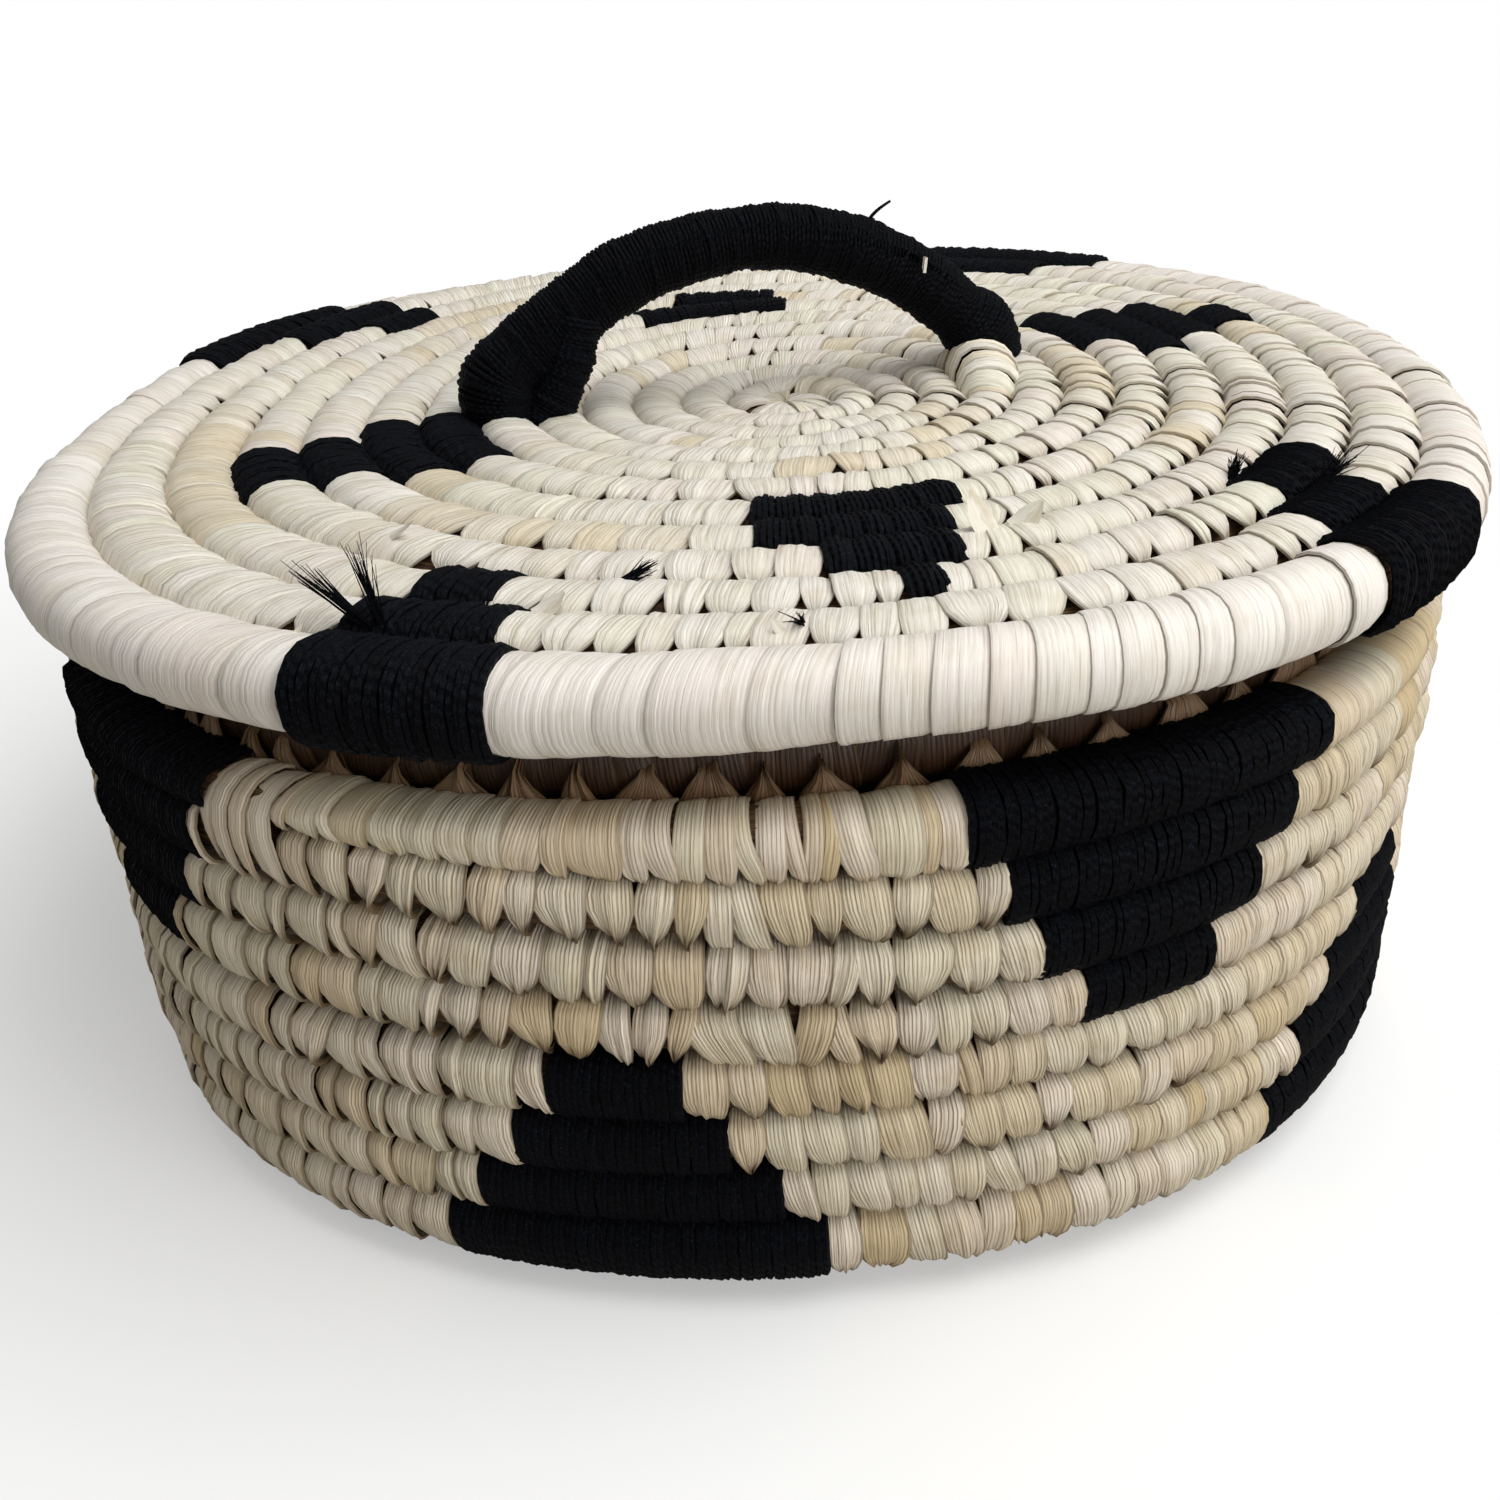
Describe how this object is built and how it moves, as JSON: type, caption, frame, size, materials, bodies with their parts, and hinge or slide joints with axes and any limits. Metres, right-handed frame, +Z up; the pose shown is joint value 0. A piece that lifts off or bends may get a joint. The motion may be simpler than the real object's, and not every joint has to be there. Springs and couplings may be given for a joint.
{
  "type": "lidded coiled basket",
  "caption": "Round flat-bottomed coiled palm leaf basket with black stepped yarn patches and a lift-off lid that has an arched yarn-wrapped handle.",
  "frame": {"origin": "centre of the basket's footprint on the surface it stands on", "axes": "+Z up, -Y toward the viewer of the picture, +X to the viewer's right"},
  "size_m": [0.3059, 0.3018, 0.1558],
  "materials": {
    "palm_leaf": "matt dried palm leaf strips, ribbed and slightly glossy on the folds",
    "black_yarn": "matt black wool yarn, fuzzy",
    "grass": "dry grass bundle"
  },
  "bodies": {
    "basket": {"base_coil": "palm_leaf", "wall_coil": "palm_leaf", "wall_hanging_patch_1": "black_yarn", "wall_hanging_patch_2": "black_yarn", "wall_hanging_patch_3": "black_yarn", "wall_hanging_patch_4": "black_yarn", "wall_hanging_patch_5": "black_yarn", "wall_standing_patch_1": "black_yarn", "wall_standing_patch_2": "black_yarn", "wall_standing_patch_3": "black_yarn", "wall_standing_patch_4": "black_yarn", "wall_standing_patch_5": "black_yarn"},
    "lid": {"lid_coil": "palm_leaf", "lid_plug_coil": "palm_leaf", "lid_rim_patch_1": "black_yarn", "lid_rim_patch_2": "black_yarn", "lid_rim_patch_3": "black_yarn", "lid_rim_patch_4": "black_yarn", "lid_inner_patch_1": "black_yarn", "lid_inner_patch_2": "black_yarn", "lid_inner_patch_3": "black_yarn", "lid_inner_patch_4": "black_yarn", "handle_core": "grass", "handle_yarn_wrap": "black_yarn", "handle_lashing_left": "black_yarn", "handle_lashing_right": "black_yarn"}
  },
  "joints": [
    {"name": "lid_lift", "type": "slide", "parent": "basket", "child": "lid", "axis": [0, 0, 1], "range_m": [0, 0.25]}
  ]
}
